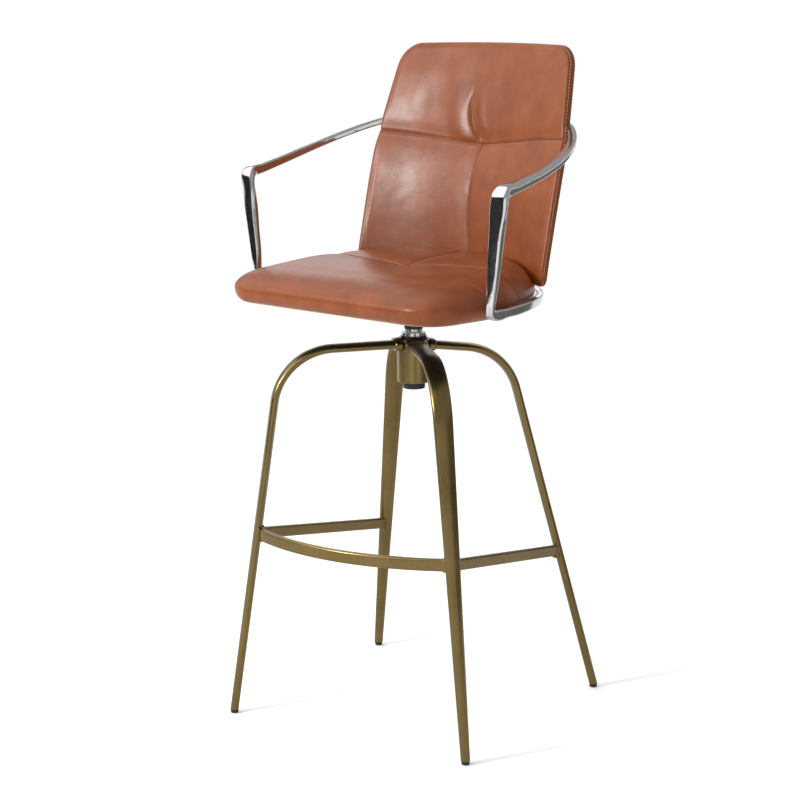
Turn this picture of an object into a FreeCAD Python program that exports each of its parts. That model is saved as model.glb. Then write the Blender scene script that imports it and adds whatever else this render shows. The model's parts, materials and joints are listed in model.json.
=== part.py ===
import FreeCAD, Part

import math
import os

from FreeCAD import Rotation, Vector

os.makedirs("parts", exist_ok=True)

# Bar stool: a four-legged base with a footrest, and an upholstered seat with arms that turns on it.
# Millimetres. The origin is on the floor under the swivel axis, +Z is up, and the seat faces -Y.
# At rest the seat stands turned a little against the base, so the base is turned about +Z.

# ---- base -------------------------------------------------------------------------------------
BASE_TURN = 11.0            # degrees, base against seat at rest
HUB_OUTER = 27.5            # radius
HUB_BORE = 23.5
HUB_BOTTOM = 555.0
HUB_TOP = 627.0

LEG_ROOT_HEIGHT = 618.5     # where the legs' centre lines meet the swivel axis
KNEE_FRONT = (151.3, -161.7, 615.2)
KNEE_REAR = (108.4, 114.8, 601.0)
FOOT_FRONT = (228.7, -212.9)
FOOT_REAR = (225.9, 221.7)
LEG_BEND = 99.0             # centre-line radius of the knee
LEG_WIDTH = 33.0            # oval tube, across the leg's run, above the taper
LEG_DEPTH = 14.3
FOOT_WIDTH = 15.5
FOOT_DEPTH = 13.8
LEG_EDGE = 4.9              # radius of the oval's narrow sides
LEG_WALL = 1.8
LEG_ROOT = 8.0              # how far the tube's blank starts inside the hub's bore
LEG_OVERRUN = 25.0          # how far the blank runs on below the floor
HUB_RIM_ROUND = 1.5
SOCKET_LIP = 3.2            # thickness of the hub's lips round the legs
SOCKET_LENGTH = 7.0         # how far a lip stands out from the hub
SOCKET_START = 3.5          # how far inside the hub's outer face it begins
GLIDE_HEIGHT = 6.0
GLIDE_RADIUS = 6.6
GLIDE_STEM = 22.0

RAIL_HEIGHT_FRONT = 312.5   # where the rails meet the front legs
RAIL_HEIGHT_REAR = 250.0    # where the side rails meet the rear legs
FOOTREST_TALL = 20.0
FOOTREST_THICK = 10.0
FOOTREST_BOW = 47.0
SIDE_RAIL_TALL = 19.0
SIDE_RAIL_THICK = 9.0
RAIL_CORNER = 3.2
RAIL_WALL = 1.8
WELD_SPREAD = 4.0           # how much a welded end flares, each way
WELD_LENGTH = 8.0
WELD_START = 8.5            # from a leg's centre line, inside the leg
BEND_STEPS = 6

# ---- swivel -----------------------------------------------------------------------------------
SHAFT_RADIUS = 12.5
RUNNING_GAP = 0.05          # radial, shaft in bush
BODY_GAP = 0.3              # axial, between the turning and the standing pieces
COLLAR_RADIUS = 21.5        # black ring on top of the hub
COLLAR_TOP = 632.4
FLANGE_RADIUS = 20.7
FLANGE_TOP = 637.8
NECK_RADIUS = 13.8
NECK_TOP = 643.2
NECK_TEETH = 12
BUSH_LENGTH = 20.0
CAP_RADIUS = 18.5
CAP_BOTTOM = 544.0
CAP_WALL = 3.0
SHAFT_BOTTOM = 549.0
CLIP_LOW = 552.2
CLIP_THICK = 1.5
CLIP_RADIUS = 15.0
CLIP_GROOVE = 0.9           # depth
WASHER_LOW = 554.0
WASHER_THICK = 2.0
WASHER_RADIUS = 17.0

PLATE_HALF_X = 95.0
PLATE_HALF_Y = 80.0
PLATE_THICK = 4.0
PLATE_CORNER = 18.0
BOSS_RADIUS = 15.5
BOSS_FLARE = 34.0
BOSS_FLARE_TALL = 14.0
PLATE_HOLE_X = 75.0
PLATE_HOLE_Y = 60.0
BOLT_RADIUS = 4.0           # M8
BOLT_HEAD = 7.0
BOLT_HEAD_TALL = 4.4

# ---- seat -------------------------------------------------------------------------------------
SEAT_BOTTOM = 690.5         # underside of the seat board and of the leather's lower edge
PAN_THICK = 14.0
PAN_INSET = 12.0
DUST_COVER_THICK = 1.2
DUST_COVER_INSET = 16.0
PAD_HALF_WIDTH = 241.0
PAD_FRONT = -211.0
PAD_FRONT_CORNER = 65.0
PAD_TOP_FRONT = 734.0       # top face at the front edge, before its edge is rounded
PAD_TOP_REAR = 757.0
PAD_TOP_ROUND = 28.0
PAD_BOTTOM_ROUND = 8.0
PAD_RING_GAP = 8.5         # from the lower rail's centre line to the pad

# ---- backrest ---------------------------------------------------------------------------------
# Each level: height, front face's y at the side edges, front face's y in the middle.
BACK_LEVELS = [
    (715.0, 69.0, 128.0),
    (790.0, 86.0, 134.0),
    (870.0, 105.0, 144.0),
    (950.0, 126.0, 163.0),
    (1030.0, 147.0, 177.0),
    (1105.0, 167.0, 191.0),
]
BACK_REF_HALF = 208.0       # half width at which the edge values above hold
BACK_LOFT_HALF = 226.0
BACK_EDGE_THICK = 18.0
BACK_MID_THICK = 26.0
BACK_HALF_LOW = 208.5
BACK_TAPER_START = 925.0
BACK_HALF_TOP = 185.0
BACK_BOTTOM = 720.0
BACK_TOP = 1096.0
BACK_TOP_ARCH = 5.0
BACK_TOP_CORNER = 34.0
BACK_LOW_CORNER = 14.0
BACK_CUSHION_SHARE = 0.5    # shares of the thickness, front to rear
BACK_SHELL_SHARE = 0.3
BACK_LAYER_GAP = 0.012       # share of the thickness left open between the layers
SHELL_INSET = 6.0

# ---- arms -------------------------------------------------------------------------------------
ARM_TOP_CORNER = (281.0, -105.0, 889.0)
ARM_LOW_CORNER = (259.0, -103.5, 701.5)
UPPER_REAR_Y = 206.0
LOWER_REAR_Y = 181.0
UPPER_RISE = (52.0, 48.0)   # first and second order, over UPPER_RISE_RUN
UPPER_RISE_RUN = 300.0
UPPER_POWERS = (2.0, 3.6)
LOWER_POWERS = (2.7, 1.56)
UPPER_BEND = 13.5
LOWER_BEND = 9.0
POST_TURN = 8.0             # degrees, the post's broad face turned outward
BAND_CORNER = (2.8, 5.0)    # corner radius of the slimmest and of the widest section
BAND_CROWN = (0.25, 0.8)    # bulge of their sides
POST_LOW_SIZE = (14.0, 11.5)    # across, deep
POST_SIZES = ((18.3, 12.6), (22.5, 14.4), (27.0, 15.4))   # at each quarter of its height
POST_TOP_SIZE = (31.0, 13.6)
UPPER_START_SIZE = (22.5, 18.5)
UPPER_NEAR_SIZE = (19.0, 16.2)
UPPER_SIDE_SIZE = (15.0, 13.5)
UPPER_REAR_SIZE = (10.5, 13.0)
LOWER_FRONT_SIZE = (13.0, 15.5)
LOWER_REAR_SIZE = (10.5, 15.0)

# ---- brackets and fasteners -------------------------------------------------------------------
STAY_X = 70.0
STAY_WIDTH = 28.0
STAY_THICK = 4.0
STAY_LEAN = 5.6             # degrees from upright
STAY_FOOT_Y = 131.5         # where the upright passes the seat board's underside
STAY_TOP = 812.0
STAY_FOOT_FRONT = 84.0
SPACER_X = 62.0
SPACER_RADIUS = 7.0
SCREW_RADIUS = 3.0          # M6
SCREW_HEAD = 5.2
SCREW_HEAD_TALL = 3.0
BACK_SCREW_LENGTH = 25.0
STUD_RADIUS = 3.5           # joins a lower rail to the seat board's edge
STUD_HEIGHT = 699.2
STUD_AT_Y = (-70.0, 5.0, 70.0)
STUD_IN_BOARD = 24.0
STUD_IN_RAIL = 3.0
WOOD_SCREW_RADIUS = 2.2
WOOD_SCREW_LENGTH = 15.0
WOOD_SCREW_HEAD = 4.2
WOOD_SCREW_HEAD_TALL = 2.4
PIN_RADIUS = 3.0            # joins the two arms behind the back
PIN_HALF = 16.0
BACK_GAP = 1.0              # between the seat's leather and the back
RAIL_GROOVE_GAP = 0.4       # round the upper rail, where the back's rear edges are hollowed for it


# ---- plain shapes -----------------------------------------------------------------------------
def cylinder(radius, low, high, x=0.0, y=0.0):
    return Part.makeCylinder(radius, high - low, Vector(x, y, low))


def ring(outer, inner, low, high):
    return cylinder(outer, low, high).cut(cylinder(inner, low - 1.0, high + 1.0))


def group(solids):
    return Part.makeCompound(solids)


def mirrored(shape):
    return shape.mirror(Vector(0, 0, 0), Vector(1, 0, 0))


def unit(vector):
    return Vector(vector).normalize()


def largest(shape):
    return max(shape.Solids, key=lambda solid: solid.Volume)


def rounded_section(centre, across_dir, deep_dir, across, deep, corner, crown=0.0):
    """Closed rounded rectangle whose sides may bulge by crown; it always starts and runs the same way."""
    a, d = unit(across_dir), unit(deep_dir)
    half_a, half_d = across / 2.0, deep / 2.0
    edges = []
    previous = None
    first = None

    def side(begin, end):
        if crown == 0.0:
            return Part.LineSegment(begin, end).toShape()
        middle = (begin + end) * 0.5
        return Part.Arc(begin, middle + unit(middle - centre) * crown, end).toShape()
    for quarter in range(4):
        sign_a = 1.0 if quarter in (0, 3) else -1.0
        sign_d = 1.0 if quarter in (0, 1) else -1.0
        middle = centre + a * (sign_a * (half_a - corner)) + d * (sign_d * (half_d - corner))
        points = []
        for step in (0.0, 45.0, 90.0):
            angle = math.radians(90.0 * quarter + step)
            points.append(middle + a * (corner * math.cos(angle)) + d * (corner * math.sin(angle)))
        if previous is not None:
            edges.append(side(previous, points[0]))
        else:
            first = points[0]
        edges.append(Part.Arc(points[0], points[1], points[2]).toShape())
        previous = points[2]
    edges.append(side(previous, first))
    return Part.Wire(edges)


def oval_section(centre, across_dir, deep_dir, across, deep, edge):
    """Closed oval of two broad arcs and two narrow ones of radius edge, all tangent."""
    a, d = unit(across_dir), unit(deep_dir)
    reach, rise = across / 2.0 - edge, deep / 2.0 - edge
    broad = (reach ** 2 + rise * (deep / 2.0 + edge)) / (2.0 * rise)
    lean = math.asin(reach / (broad - edge))

    def on_circle(offset_a, offset_d, radius, angle):
        return (centre + a * (offset_a + radius * math.sin(angle))
                + d * (offset_d + radius * math.cos(angle)))
    edges = []
    for half_turn in (0.0, math.pi):
        sign = math.cos(half_turn)
        low = sign * (deep / 2.0 - broad)
        broad_points = [on_circle(0.0, low, broad, half_turn + angle) for angle in (-lean, 0.0, lean)]
        narrow_points = [on_circle(sign * reach, 0.0, edge, half_turn + angle)
                         for angle in (lean, math.pi / 2.0, math.pi - lean)]
        edges.append(Part.Arc(*broad_points).toShape())
        edges.append(Part.Arc(*narrow_points).toShape())
    return Part.Wire(edges)


def corner_fillet(before, corner, after, radius):
    """Tangent points, arc centre, axis and angle of the round that joins two straight runs."""
    run_in, run_out = unit(corner - before), unit(after - corner)
    angle = run_in.getAngle(run_out)
    setback = radius * math.tan(angle / 2.0)
    start = corner - run_in * setback
    end = corner + run_out * setback
    inward = unit(run_out - run_in * run_in.dot(run_out))
    return start, end, start + inward * radius, unit(run_in.cross(run_out)), math.degrees(angle)


# ---- base pieces ------------------------------------------------------------------------------
def leg_bar(knee_at, foot_xy, shrink):
    """A leg's full outline, from inside the hub to below the floor; shrink gives its hollow.

    The tube turns a little about its own centre line through the knee, so that its broad
    face looks along the lower run.
    """
    foot = Vector(foot_xy[0], foot_xy[1], 0.0)
    knee = Vector(*knee_at)
    hub = Vector(0.0, 0.0, LEG_ROOT_HEIGHT)
    start, end, centre, axis, angle = corner_fillet(hub, knee, foot, LEG_BEND)
    along_arm, down_leg = unit(knee - hub), unit(foot - knee)
    level_across = unit(Vector(0, 0, 1).cross(along_arm))
    run_across = unit(Vector(0, 0, 1).cross(Vector(down_leg.x, down_leg.y, 0.0)))
    root = hub + along_arm * (HUB_BORE - LEG_ROOT)
    toe = foot + down_leg * LEG_OVERRUN
    overrun = (toe - end).Length / (foot - end).Length
    width, depth = LEG_WIDTH - 2 * shrink, LEG_DEPTH - 2 * shrink
    toe_width = LEG_WIDTH + (FOOT_WIDTH - LEG_WIDTH) * overrun - 2 * shrink
    toe_depth = LEG_DEPTH + (FOOT_DEPTH - LEG_DEPTH) * overrun - 2 * shrink
    edge = LEG_EDGE - shrink

    def section(point, along, across, wide, deep):
        flat_across = unit(across - along * along.dot(across))
        return oval_section(point, flat_across, along.cross(flat_across), wide, deep, edge)

    arm = Part.Face(section(root, along_arm, level_across, width, depth)).extrude(start - root)
    bend_sections = []
    for index in range(BEND_STEPS + 1):
        share = index / float(BEND_STEPS)
        spin = Rotation(axis, angle * share)
        point = centre + spin.multVec(start - centre)
        across = level_across * (1.0 - share) + run_across * share
        bend_sections.append(section(point, spin.multVec(along_arm), across, width, depth))
    bend = Part.makeLoft(bend_sections, True, False)
    high = section(end, down_leg, run_across, width, depth)
    low = section(toe, down_leg, run_across, toe_width, toe_depth)
    return arm.fuse([bend, Part.makeLoft([high, low], True, True)])


def leg_socket(knee_at):
    """Lip round a leg where it enters the hub, before the leg's room is cut from it."""
    hub = Vector(0.0, 0.0, LEG_ROOT_HEIGHT)
    along = unit(Vector(*knee_at) - hub)
    across = unit(Vector(0, 0, 1).cross(along))
    sections = []
    for reach, lip in ((-SOCKET_START, SOCKET_LIP + 1.0), (SOCKET_LENGTH - 1.5, SOCKET_LIP),
                       (SOCKET_LENGTH, SOCKET_LIP - 1.2)):
        sections.append(oval_section(hub + along * (HUB_OUTER + reach), across, along.cross(across),
                                     LEG_WIDTH + 2 * lip, LEG_DEPTH + 2 * lip, LEG_EDGE + lip))
    return Part.makeLoft(sections, True, True)


def leg(knee_at, foot_xy):
    outside = leg_bar(knee_at, foot_xy, 0.0)
    hollow = leg_bar(knee_at, foot_xy, LEG_WALL)
    hub_space = cylinder(HUB_OUTER, HUB_BOTTOM - 5.0, HUB_TOP + 5.0)
    floor_space = Part.makeBox(600.0, 600.0, 60.0, Vector(-300.0, -300.0, GLIDE_HEIGHT - 60.0))
    return largest(outside.cut(hollow).cut(hub_space).cut(floor_space))


def foot_glide(knee_at, foot_xy):
    foot = Vector(foot_xy[0], foot_xy[1], 0.0)
    up_leg = unit(Vector(*knee_at) - foot)
    top = foot + up_leg * (GLIDE_HEIGHT / up_leg.z)
    pad = cylinder(GLIDE_RADIUS, 0.0, GLIDE_HEIGHT, top.x, top.y)
    pad = pad.makeFillet(1.6, [edge for edge in pad.Edges if edge.BoundBox.ZMax < 0.01])
    stem_width = min(FOOT_WIDTH, FOOT_DEPTH) - 2 * LEG_WALL - 1.6
    stem = Part.makeCylinder(stem_width / 2.0, GLIDE_STEM, top - up_leg * 1.0, up_leg)
    return pad.fuse(stem).removeSplitter()


def leg_point(knee_at, foot_xy, height):
    """Centre line of a leg's straight run at a height."""
    share = height / knee_at[2]
    return Vector(foot_xy[0] + (knee_at[0] - foot_xy[0]) * share,
                  foot_xy[1] + (knee_at[1] - foot_xy[1]) * share, height)


def front_footrest(leg_solids):
    """A bar bowed forward in plan, welded between the front legs."""
    height, thick, tall = RAIL_HEIGHT_FRONT, FOOTREST_THICK, FOOTREST_TALL
    joint = leg_point(KNEE_FRONT, FOOT_FRONT, RAIL_HEIGHT_FRONT)
    half = joint.x - 2.0
    radius = (half * half + FOOTREST_BOW * FOOTREST_BOW) / (2.0 * FOOTREST_BOW)
    sweep = math.degrees(math.asin(half / radius))
    centre = Vector(0.0, joint.y - FOOTREST_BOW + radius, RAIL_HEIGHT_FRONT)
    bars = []
    for wall in (0.0, RAIL_WALL):
        start = centre + Rotation(Vector(0, 0, 1), -sweep).multVec(Vector(0.0, -radius, 0.0))
        outward = unit(start - centre)
        section = rounded_section(start, outward, Vector(0, 0, 1), FOOTREST_THICK - 2 * wall,
                                  FOOTREST_TALL - 2 * wall, RAIL_CORNER - wall / 2.0)
        bars.append(Part.Face(section).revolve(centre, Vector(0, 0, 1), 2 * sweep))
    outside = bars[0]
    for side in (-1.0, 1.0):
        inward = Rotation(Vector(0, 0, 1), side * sweep).multVec(Vector(-side, 0.0, 0.0))
        outside = outside.fuse(weld_flare(Vector(side * joint.x, joint.y, height), inward, thick, tall))
    return largest(outside.cut(bars[1]).cut(leg_solids[0]).cut(leg_solids[1]))


def weld_flare(joint, along, thick, tall):
    """Spreading end where a bar is welded on; the joint is on the leg's centre line."""
    across = unit(along.cross(Vector(0, 0, 1)))
    upward = across.cross(along)
    sections = []
    for share, spread in ((0.0, 1.0), (0.35, 0.35), (1.0, 0.0)):
        spot = joint + along * (WELD_START + share * WELD_LENGTH)
        grown = 0.3 + spread * WELD_SPREAD
        sections.append(rounded_section(spot, across, upward, thick + grown, tall + 2 * grown, RAIL_CORNER))
    return Part.makeLoft(sections, True, True)


def side_rail(leg_solids):
    """A straight bar from the front leg down to the rear leg, on the +X side."""
    start = leg_point(KNEE_FRONT, FOOT_FRONT, RAIL_HEIGHT_FRONT)
    end = leg_point(KNEE_REAR, FOOT_REAR, RAIL_HEIGHT_REAR)
    along = unit(end - start)
    across = unit(along.cross(Vector(0, 0, 1)))
    bars = []
    for wall in (0.0, RAIL_WALL):
        section = rounded_section(start, across, along.cross(across), SIDE_RAIL_THICK - 2 * wall,
                                  SIDE_RAIL_TALL - 2 * wall, RAIL_CORNER - wall / 2.0)
        bars.append(Part.Face(section).extrude(end - start))
    ends = [weld_flare(start, along, SIDE_RAIL_THICK, SIDE_RAIL_TALL),
            weld_flare(end, along * -1.0, SIDE_RAIL_THICK, SIDE_RAIL_TALL)]
    outside = bars[0].fuse(ends)
    return largest(outside.cut(bars[1]).cut(leg_solids[0]).cut(leg_solids[1]))


def hub_pieces():
    sleeve = ring(HUB_OUTER, HUB_BORE, HUB_BOTTOM, HUB_TOP)
    rims = [edge for edge in sleeve.Edges
            if isinstance(edge.Curve, Part.Circle) and edge.Curve.Radius > HUB_BORE + 1.0]
    sleeve = sleeve.makeFillet(HUB_RIM_ROUND, rims)
    core = cylinder(HUB_OUTER - SOCKET_START, HUB_BOTTOM, HUB_TOP + 10.0)
    for knee, foot in ((KNEE_FRONT, FOOT_FRONT), (KNEE_REAR, FOOT_REAR)):
        lip = leg_socket(knee).cut(core)
        room = leg_bar(knee, foot, 0.0).cut(cylinder(HUB_OUTER, HUB_BOTTOM, HUB_TOP + 10.0))
        for part in (lip, mirrored(lip)):
            sleeve = sleeve.fuse(part)
        sleeve = sleeve.cut([room, mirrored(room)])
    sleeve = largest(sleeve)
    bore = SHAFT_RADIUS + RUNNING_GAP
    upper = ring(HUB_BORE, bore, HUB_TOP - BUSH_LENGTH, HUB_TOP)
    upper = upper.fuse(ring(COLLAR_RADIUS, bore, HUB_TOP, COLLAR_TOP)).removeSplitter()
    seat_of_bush = WASHER_LOW + WASHER_THICK
    lower = ring(HUB_BORE, bore, seat_of_bush + 4.0, seat_of_bush + 4.0 + BUSH_LENGTH)
    lower = lower.fuse(ring(WASHER_RADIUS, bore, seat_of_bush, seat_of_bush + 4.0)).removeSplitter()
    washer = ring(WASHER_RADIUS, bore, WASHER_LOW, seat_of_bush)
    cap = cylinder(CAP_RADIUS, CAP_BOTTOM, HUB_BOTTOM)
    cap = cap.makeFillet(2.0, [edge for edge in cap.Edges if edge.BoundBox.ZMax < CAP_BOTTOM + 0.01])
    cap = cap.fuse(cylinder(HUB_BORE, HUB_BOTTOM, seat_of_bush + 4.0)).removeSplitter()
    cap = cap.cut(cylinder(WASHER_RADIUS, WASHER_LOW, seat_of_bush + 5.0))
    cap = cap.cut(cylinder(CLIP_RADIUS + 0.6, CAP_BOTTOM + CAP_WALL, seat_of_bush))
    return {"hub_sleeve": sleeve, "upper_bushing": upper, "lower_bushing": lower,
            "lower_thrust_washer": washer, "hub_end_cap": cap}


def base_pieces():
    front_right = leg(KNEE_FRONT, FOOT_FRONT)
    rear_right = leg(KNEE_REAR, FOOT_REAR)
    front_core = leg_bar(KNEE_FRONT, FOOT_FRONT, 0.0)
    rear_core = leg_bar(KNEE_REAR, FOOT_REAR, 0.0)
    rail_right = side_rail([front_core, rear_core])
    glide_front = foot_glide(KNEE_FRONT, FOOT_FRONT)
    glide_rear = foot_glide(KNEE_REAR, FOOT_REAR)
    pieces = {
        "leg_front_right": front_right,
        "leg_front_left": mirrored(front_right),
        "leg_rear_right": rear_right,
        "leg_rear_left": mirrored(rear_right),
        "footrest_front": front_footrest([front_core, mirrored(front_core)]),
        "side_rail_right": rail_right,
        "side_rail_left": mirrored(rail_right),
        "foot_glide_front_right": glide_front,
        "foot_glide_front_left": mirrored(glide_front),
        "foot_glide_rear_right": glide_rear,
        "foot_glide_rear_left": mirrored(glide_rear),
    }
    pieces.update(hub_pieces())
    turned = {}
    for name, shape in pieces.items():
        turned[name] = shape.rotated(Vector(0, 0, 0), Vector(0, 0, 1), BASE_TURN)
    return turned


# ---- swivel pieces ----------------------------------------------------------------------------
def spindle():
    top = SEAT_BOTTOM - DUST_COVER_THICK
    shaft = cylinder(SHAFT_RADIUS, SHAFT_BOTTOM, top)
    shaft = shaft.makeChamfer(1.2, [e for e in shaft.Edges if e.BoundBox.ZMax < SHAFT_BOTTOM + 0.01])
    groove = ring(SHAFT_RADIUS + 1.0, SHAFT_RADIUS - CLIP_GROOVE, CLIP_LOW, CLIP_LOW + CLIP_THICK)
    return shaft.cut(groove)


def circlip():
    clip = ring(CLIP_RADIUS, SHAFT_RADIUS - CLIP_GROOVE, CLIP_LOW, CLIP_LOW + CLIP_THICK)
    mouth = Part.makeBox(7.0, 40.0, 10.0, Vector(-3.5, 0.0, CLIP_LOW - 4.0))
    return clip.cut(mouth)


def neck_collar():
    """Short collar above the flange, with teeth all round like a castle nut."""
    collar = ring(NECK_RADIUS, SHAFT_RADIUS, FLANGE_TOP, NECK_TOP)
    slots = []
    for index in range(NECK_TEETH):
        slot = Part.makeBox(3.2, 2.6, 3.6, Vector(NECK_RADIUS - 1.0, -1.3, FLANGE_TOP + 2.0))
        slots.append(slot.rotated(Vector(0, 0, 0), Vector(0, 0, 1), index * 360.0 / NECK_TEETH))
    return collar.cut(slots)


def bolt(x, y, seat_z, length, radius, head, head_tall, upward=True):
    """Button-head screw: the head's bearing face is at seat_z and the shank goes up from it."""
    shank = cylinder(radius, seat_z, seat_z + length, x, y)
    cap = cylinder(head, seat_z - head_tall, seat_z, x, y)
    cap = cap.makeFillet(head_tall * 0.55,
                         [e for e in cap.Edges if e.BoundBox.ZMax < seat_z - head_tall + 0.01])
    socket = Part.makeCylinder(radius * 0.62, head_tall * 0.6, Vector(x, y, seat_z - head_tall))
    screw = shank.fuse(cap).cut(socket).removeSplitter()
    if not upward:
        screw = screw.rotated(Vector(x, y, seat_z), Vector(1, 0, 0), 180.0)
    return screw


def plate_hole_places():
    return [(sx * PLATE_HOLE_X, sy * PLATE_HOLE_Y) for sx in (-1, 1) for sy in (-1, 1)]


def swivel_plate():
    top = SEAT_BOTTOM - DUST_COVER_THICK
    low = top - PLATE_THICK
    plate = Part.makeBox(2 * PLATE_HALF_X, 2 * PLATE_HALF_Y, PLATE_THICK,
                         Vector(-PLATE_HALF_X, -PLATE_HALF_Y, low))
    upright = [e for e in plate.Edges if e.BoundBox.XLength < 1.0 and e.BoundBox.YLength < 1.0]
    plate = plate.makeFillet(PLATE_CORNER, upright)
    boss = cylinder(BOSS_RADIUS, NECK_TOP, low)
    flare = Part.makeCone(BOSS_RADIUS, BOSS_FLARE, BOSS_FLARE_TALL, Vector(0, 0, low - BOSS_FLARE_TALL))
    plate = plate.fuse([boss, flare]).cut(cylinder(SHAFT_RADIUS, NECK_TOP - 5.0, top + 5.0))
    for x, y in plate_hole_places():
        plate = plate.cut(cylinder(BOLT_RADIUS + 0.3, low - 5.0, top + 5.0, x, y))
    return plate.removeSplitter()


def tee_nut(x, y):
    top = SEAT_BOTTOM + PAN_THICK
    barrel = cylinder(BOLT_RADIUS + 1.4, top - 10.0, top, x, y)
    flange = cylinder(10.0, top - 1.5, top, x, y)
    return barrel.fuse(flange).cut(cylinder(BOLT_RADIUS, top - 12.0, top + 1.0, x, y))


# ---- rail curves ------------------------------------------------------------------------------
def band_point(level, angle):
    """Centre line of the upper or lower rail on the +X side; 0 is the front corner, 90 the rear."""
    corner = ARM_TOP_CORNER if level == "upper" else ARM_LOW_CORNER
    rear = UPPER_REAR_Y if level == "upper" else LOWER_REAR_Y
    powers = UPPER_POWERS if level == "upper" else LOWER_POWERS
    cosine = max(math.cos(math.radians(angle)), 0.0)
    sine = max(math.sin(math.radians(angle)), 0.0)
    x = corner[0] * cosine ** (2.0 / powers[0])
    y = corner[1] + (rear - corner[1]) * sine ** (2.0 / powers[1])
    z = corner[2]
    if level == "upper":
        share = (y - corner[1]) / UPPER_RISE_RUN
        z += UPPER_RISE[0] * share + UPPER_RISE[1] * share * share
    return Vector(x, y, z)


def band_frame(level, angle):
    """Point, rearward tangent and outward direction of a rail at an angle."""
    point = band_point(level, angle)
    if angle >= 90.0:
        return point, Vector(-1, 0, 0), Vector(0, 1, 0)
    step = 0.05
    tangent = unit(band_point(level, min(angle + step, 90.0)) - band_point(level, angle - step))
    return point, tangent, unit(Vector(tangent.y, -tangent.x, 0.0))


def angle_at_y(level, y):
    """Rail angle where the centre line reaches a given y."""
    low, high = 0.0, 90.0
    for _ in range(40):
        middle = (low + high) / 2.0
        if band_point(level, middle).y < y:
            low = middle
        else:
            high = middle
    return low


def blend(first, second, share):
    return tuple(a + (b - a) * share for a, b in zip(first, second))


# ---- arms -------------------------------------------------------------------------------------
def arm_section(point, tangent, outward, size, spare=0.0):
    inward = unit(tangent.cross(outward))
    fullness = (size[0] - LOWER_FRONT_SIZE[0]) / (POST_TOP_SIZE[0] - LOWER_FRONT_SIZE[0])
    fullness = min(max(fullness, 0.0), 1.0)
    crown = BAND_CROWN[0] + (BAND_CROWN[1] - BAND_CROWN[0]) * fullness
    corner = BAND_CORNER[0] + (BAND_CORNER[1] - BAND_CORNER[0]) * fullness
    across, deep = size[0] + 2 * (spare - crown), size[1] + 2 * (spare - crown)
    return rounded_section(point, outward, inward, across, deep, corner, crown)


def turned_outward(direction, degrees):
    return Rotation(Vector(0, 0, 1), degrees).multVec(direction)


def bend_sections(before, corner, after, radius, sizes, turns, spare):
    """Sections fanned round a corner of the arm's loop."""
    start, end, centre, axis, angle = corner_fillet(before, corner, after, radius)
    run_in = unit(corner - before)
    across = unit(Vector(1, 0, 0) - run_in * run_in.x)
    sections = []
    for index, (size, turn) in enumerate(zip(sizes, turns)):
        share = index / (len(sizes) - 1.0)
        spin = Rotation(axis, angle * share)
        point = centre + spin.multVec(start - centre)
        tangent = spin.multVec(run_in)
        outward = spin.multVec(across)
        outward = turned_outward(outward, turn)
        outward = unit(outward - tangent * tangent.dot(outward))
        sections.append(arm_section(point, tangent, outward, size, spare))
    return sections


def arm_right(spare=0.0):
    """Lower rail, post and upper rail in one casting, from the lower to the upper rear joint.

    Spare widens every section; it gives the room that the arm needs in the back.
    """
    low_corner, top_corner = Vector(*ARM_LOW_CORNER), Vector(*ARM_TOP_CORNER)
    sections = []
    for angle in (90.0, 76.0, 62.0, 48.0, 36.0, 25.0, 17.0, 11.5):
        point, tangent, outward = band_frame("lower", angle)
        size = blend(LOWER_FRONT_SIZE, LOWER_REAR_SIZE, angle / 90.0)
        sections.append(arm_section(point, tangent * -1.0, outward, size, spare))
    low_entry = band_point("lower", 8.0)
    lower_sizes = (LOWER_FRONT_SIZE, (13.3, 13.6), (13.7, 12.8), POST_LOW_SIZE)
    sections += bend_sections(low_entry, low_corner, top_corner, LOWER_BEND, lower_sizes,
                              (0.0, 3.0, 6.0, POST_TURN), spare)
    post = top_corner - low_corner
    for share, size in zip((0.25, 0.5, 0.75), POST_SIZES):
        across = unit(Vector(1, 0, 0) - unit(post) * unit(post).x)
        outward = turned_outward(across, POST_TURN)
        outward = unit(outward - unit(post) * unit(post).dot(outward))
        sections.append(arm_section(low_corner + post * share, unit(post), outward, size, spare))
    top_exit = top_corner + Vector(0.0, UPPER_RISE_RUN, UPPER_RISE[0])
    upper_sizes = (POST_TOP_SIZE, (30.0, 15.2), (28.0, 16.8), (25.2, 18.2), UPPER_START_SIZE)
    sections += bend_sections(low_corner, top_corner, top_exit, UPPER_BEND, upper_sizes,
                              (POST_TURN, 6.0, 4.0, 2.0, 0.0), spare)
    stations = ((-80.0, blend(UPPER_START_SIZE, UPPER_NEAR_SIZE, 0.55)), (-62.0, UPPER_NEAR_SIZE),
                (-30.0, blend(UPPER_NEAR_SIZE, UPPER_SIDE_SIZE, 0.45)),
                (10.0, blend(UPPER_NEAR_SIZE, UPPER_SIDE_SIZE, 0.8)), (60.0, UPPER_SIDE_SIZE))
    for y, size in stations:
        point, tangent, outward = band_frame("upper", angle_at_y("upper", y))
        sections.append(arm_section(point, tangent, outward, size, spare))
    last_side = angle_at_y("upper", stations[-1][0])
    steps = 6
    for index in range(1, steps + 1):
        share = index / float(steps)
        point, tangent, outward = band_frame("upper", last_side + (90.0 - last_side) * share)
        size = blend(UPPER_SIDE_SIZE, UPPER_REAR_SIZE, share)
        sections.append(arm_section(point, tangent, outward, size, spare))
    return Part.makeLoft(sections, True, False)


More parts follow.
